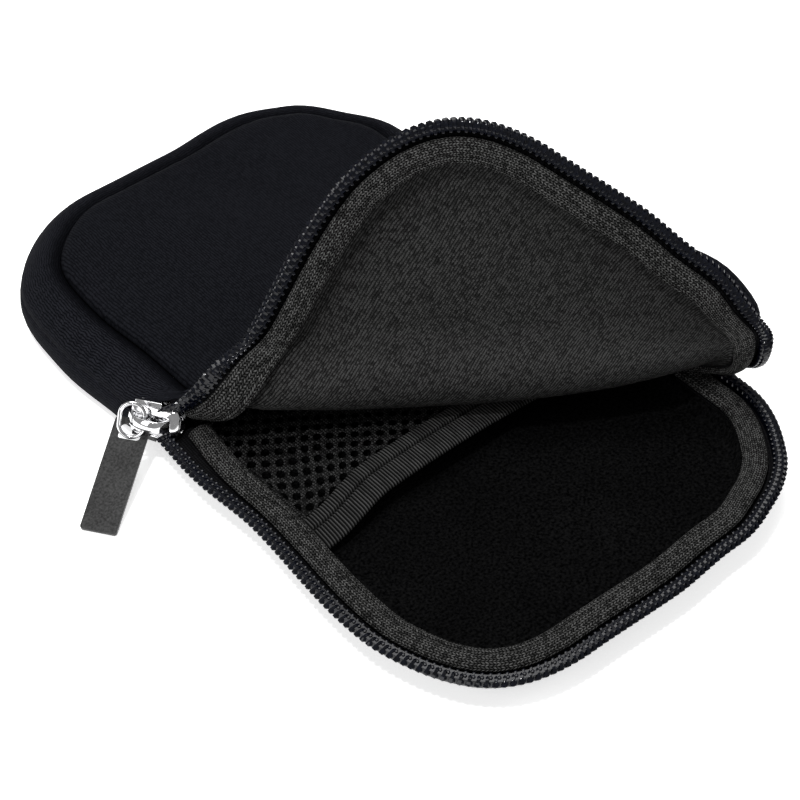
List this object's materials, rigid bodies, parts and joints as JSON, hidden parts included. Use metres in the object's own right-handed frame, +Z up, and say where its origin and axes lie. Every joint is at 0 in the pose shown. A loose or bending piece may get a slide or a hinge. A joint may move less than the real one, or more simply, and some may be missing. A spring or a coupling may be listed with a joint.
{
  "type": "phone sleeve",
  "caption": "Padded phone sleeve with a slanted fold-back flap, a coil zipper round its rim, a slider with a flat pull tab, and a net pocket inside.",
  "frame": {"origin": "centre of the flat outer face of the back cover, on which the sleeve lies", "axes": "+Z up out of the table, +Y along the sleeve towards its closed end, +X across it towards the side away from the slider"},
  "size_m": [0.1421, 0.1868, 0.0704],
  "materials": {
    "cover_knit": "matte fine knit over neoprene, near-black navy",
    "padding": "matte neoprene foam, hidden",
    "lining_knit": "matte dark grey knit",
    "plush": "matte black plush",
    "tape_weave": "matte black woven tape",
    "coil_nylon": "glossy black nylon coil",
    "net_nylon": "black nylon net",
    "hem_elastic": "ribbed black elastic",
    "slider_chrome": "polished chrome",
    "tab_metal": "dark speckled gunmetal"
  },
  "bodies": {
    "sleeve": {"back_cover": "cover_knit", "back_foam": "padding", "floor_lining": "plush", "wall_lining": "lining_knit", "side_foam": "padding", "front_cover": "cover_knit", "front_foam": "padding", "front_lining": "lining_knit", "rear_side_band": "cover_knit", "rear_side_foam": "padding", "tray_side_band": "cover_knit", "tray_zipper_tape": "tape_weave", "tray_zipper_coil": "coil_nylon", "tray_edge_roll": "lining_knit", "mesh_pocket": "net_nylon", "pocket_hem": "hem_elastic", "pocket_binding": "hem_elastic", "fold_cover": "cover_knit", "fold_foam": "padding", "fold_lining": "lining_knit", "near_fold_band": "cover_knit", "near_fold_tape": "tape_weave", "near_fold_coil": "coil_nylon", "near_fold_roll": "lining_knit", "far_fold_band": "cover_knit", "far_fold_tape": "tape_weave", "far_fold_coil": "coil_nylon", "far_fold_roll": "lining_knit"},
    "flap": {"flap_cover": "cover_knit", "flap_foam": "padding", "flap_lining": "lining_knit", "flap_side_band": "cover_knit", "flap_zipper_tape": "tape_weave", "flap_zipper_coil": "coil_nylon", "flap_edge_roll": "lining_knit"},
    "slider": {"slider_body": "slider_chrome", "slider_bridge": "slider_chrome"},
    "link": {"pull_link": "slider_chrome"},
    "tab": {"pull_tab": "tab_metal"}
  },
  "joints": [
    {"name": "flap_fold", "type": "hinge", "parent": "sleeve", "child": "flap", "pos_m": [0, -0.033, 0.01005], "axis": [-0.8161, 0.5779, 0], "range_deg": [-118, 0], "deforming": ["fold_cover", "fold_foam", "fold_lining", "near_fold_band", "near_fold_tape", "near_fold_coil", "near_fold_roll", "far_fold_band", "far_fold_tape", "far_fold_coil", "far_fold_roll"]},
    {"name": "slider_travel", "type": "slide", "parent": "sleeve", "child": "slider", "axis": [0, -1, 0], "range_m": [0, 0.066], "deforming": ["tray_zipper_tape", "tray_zipper_coil", "tray_edge_roll", "flap_zipper_tape", "flap_zipper_coil", "flap_edge_roll"]},
    {"name": "link_swing", "type": "hinge", "parent": "slider", "child": "link", "pos_m": [-0.05792, 0.01725, 0.01183], "axis": [0.366, 0.2113, 0.9063], "range_deg": [-6, 60]},
    {"name": "tab_swing", "type": "hinge", "parent": "link", "child": "tab", "pos_m": [-0.06148, 0.01855, 0.00833], "axis": [-0.5821, 0.8131, 0], "range_deg": [-60, 60]}
  ]
}
